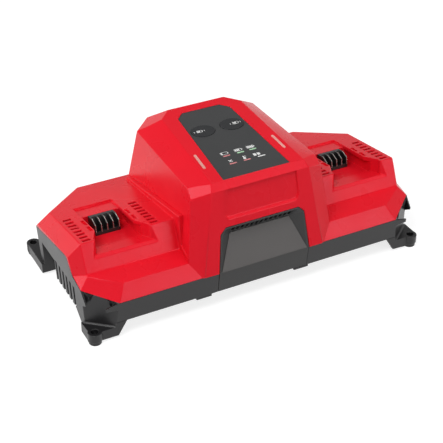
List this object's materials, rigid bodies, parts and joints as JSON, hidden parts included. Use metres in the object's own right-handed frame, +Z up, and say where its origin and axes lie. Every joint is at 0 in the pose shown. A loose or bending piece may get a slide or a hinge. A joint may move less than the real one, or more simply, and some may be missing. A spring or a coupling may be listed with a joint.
{
  "type": "power tool battery charger",
  "caption": "Two-bay power tool battery charger: faceted red cover with a centre tower and display, dark base with four mounting ears, sloping battery bays either side.",
  "frame": {"origin": "on the floor, in the middle of the four mounting ears", "axes": "+X to the charger's right, +Y to its rear, +Z up; the display and the front moulding face -Y"},
  "size_m": [0.416, 0.2036, 0.1608],
  "materials": {
    "red_shell": "satin",
    "dark_shell": "fine texture",
    "dark_moulding": "satin",
    "grey_plate": "satin",
    "panel_film": "gloss",
    "key_film": "gloss",
    "light_bar": "frosted",
    "black_plastic": "satin",
    "contact_metal": "bright plated",
    "circuit_board": "solder mask",
    "ferrite": "matt",
    "choke_core": "lacquered winding",
    "capacitor_sleeve": "gloss sleeve",
    "sink_aluminium": "extruded",
    "lamp_epoxy": "clear",
    "screw_steel": "zinc plated",
    "grommet": "matt"
  },
  "bodies": {
    "housing": {"base_tray": "dark_shell", "top_cover": "red_shell", "front_cover": "dark_moulding", "front_inset": "grey_plate", "display_panel": "panel_film", "light_pipe_left": "light_bar", "light_pipe_right": "light_bar", "terminal_block_left": "black_plastic", "terminal_block_right": "black_plastic", "blades_left": "contact_metal", "blades_right": "contact_metal", "bay_board_left": "circuit_board", "bay_board_right": "circuit_board", "main_board": "circuit_board", "display_board": "circuit_board", "tact_switches": "black_plastic", "status_leds": "lamp_epoxy", "transformer": "ferrite", "line_choke": "choke_core", "capacitors": "capacitor_sleeve", "heat_sink_left": "sink_aluminium", "heat_sink_right": "sink_aluminium", "power_transistors": "black_plastic", "fan_frame_left": "black_plastic", "fan_frame_right": "black_plastic", "cord_gland": "grommet", "housing_screws": "screw_steel", "board_screws": "screw_steel", "fan_screws": "screw_steel"},
    "button_left": {"button_left": "key_film"},
    "button_right": {"button_right": "key_film"},
    "fan_rotor_left": {"fan_rotor_left": "black_plastic"},
    "fan_rotor_right": {"fan_rotor_right": "black_plastic"}
  },
  "joints": [
    {"name": "button_left_press", "type": "slide", "parent": "housing", "child": "button_left", "axis": [0, 0.0817, -0.9967], "range_m": [0, 0.0008], "stiffness_N_per_m": 400, "springref_m": -0.001},
    {"name": "fan_left_spin", "type": "hinge", "parent": "housing", "child": "fan_rotor_left", "pos_m": [-0.029, 0.0766, 0.1045], "axis": [0, 1, 0], "continuous": true},
    {"name": "button_right_press", "type": "slide", "parent": "housing", "child": "button_right", "axis": [0, 0.0817, -0.9967], "range_m": [0, 0.0008], "stiffness_N_per_m": 400, "springref_m": -0.001},
    {"name": "fan_right_spin", "type": "hinge", "parent": "housing", "child": "fan_rotor_right", "pos_m": [0.029, 0.0766, 0.1045], "axis": [0, 1, 0], "continuous": true}
  ]
}
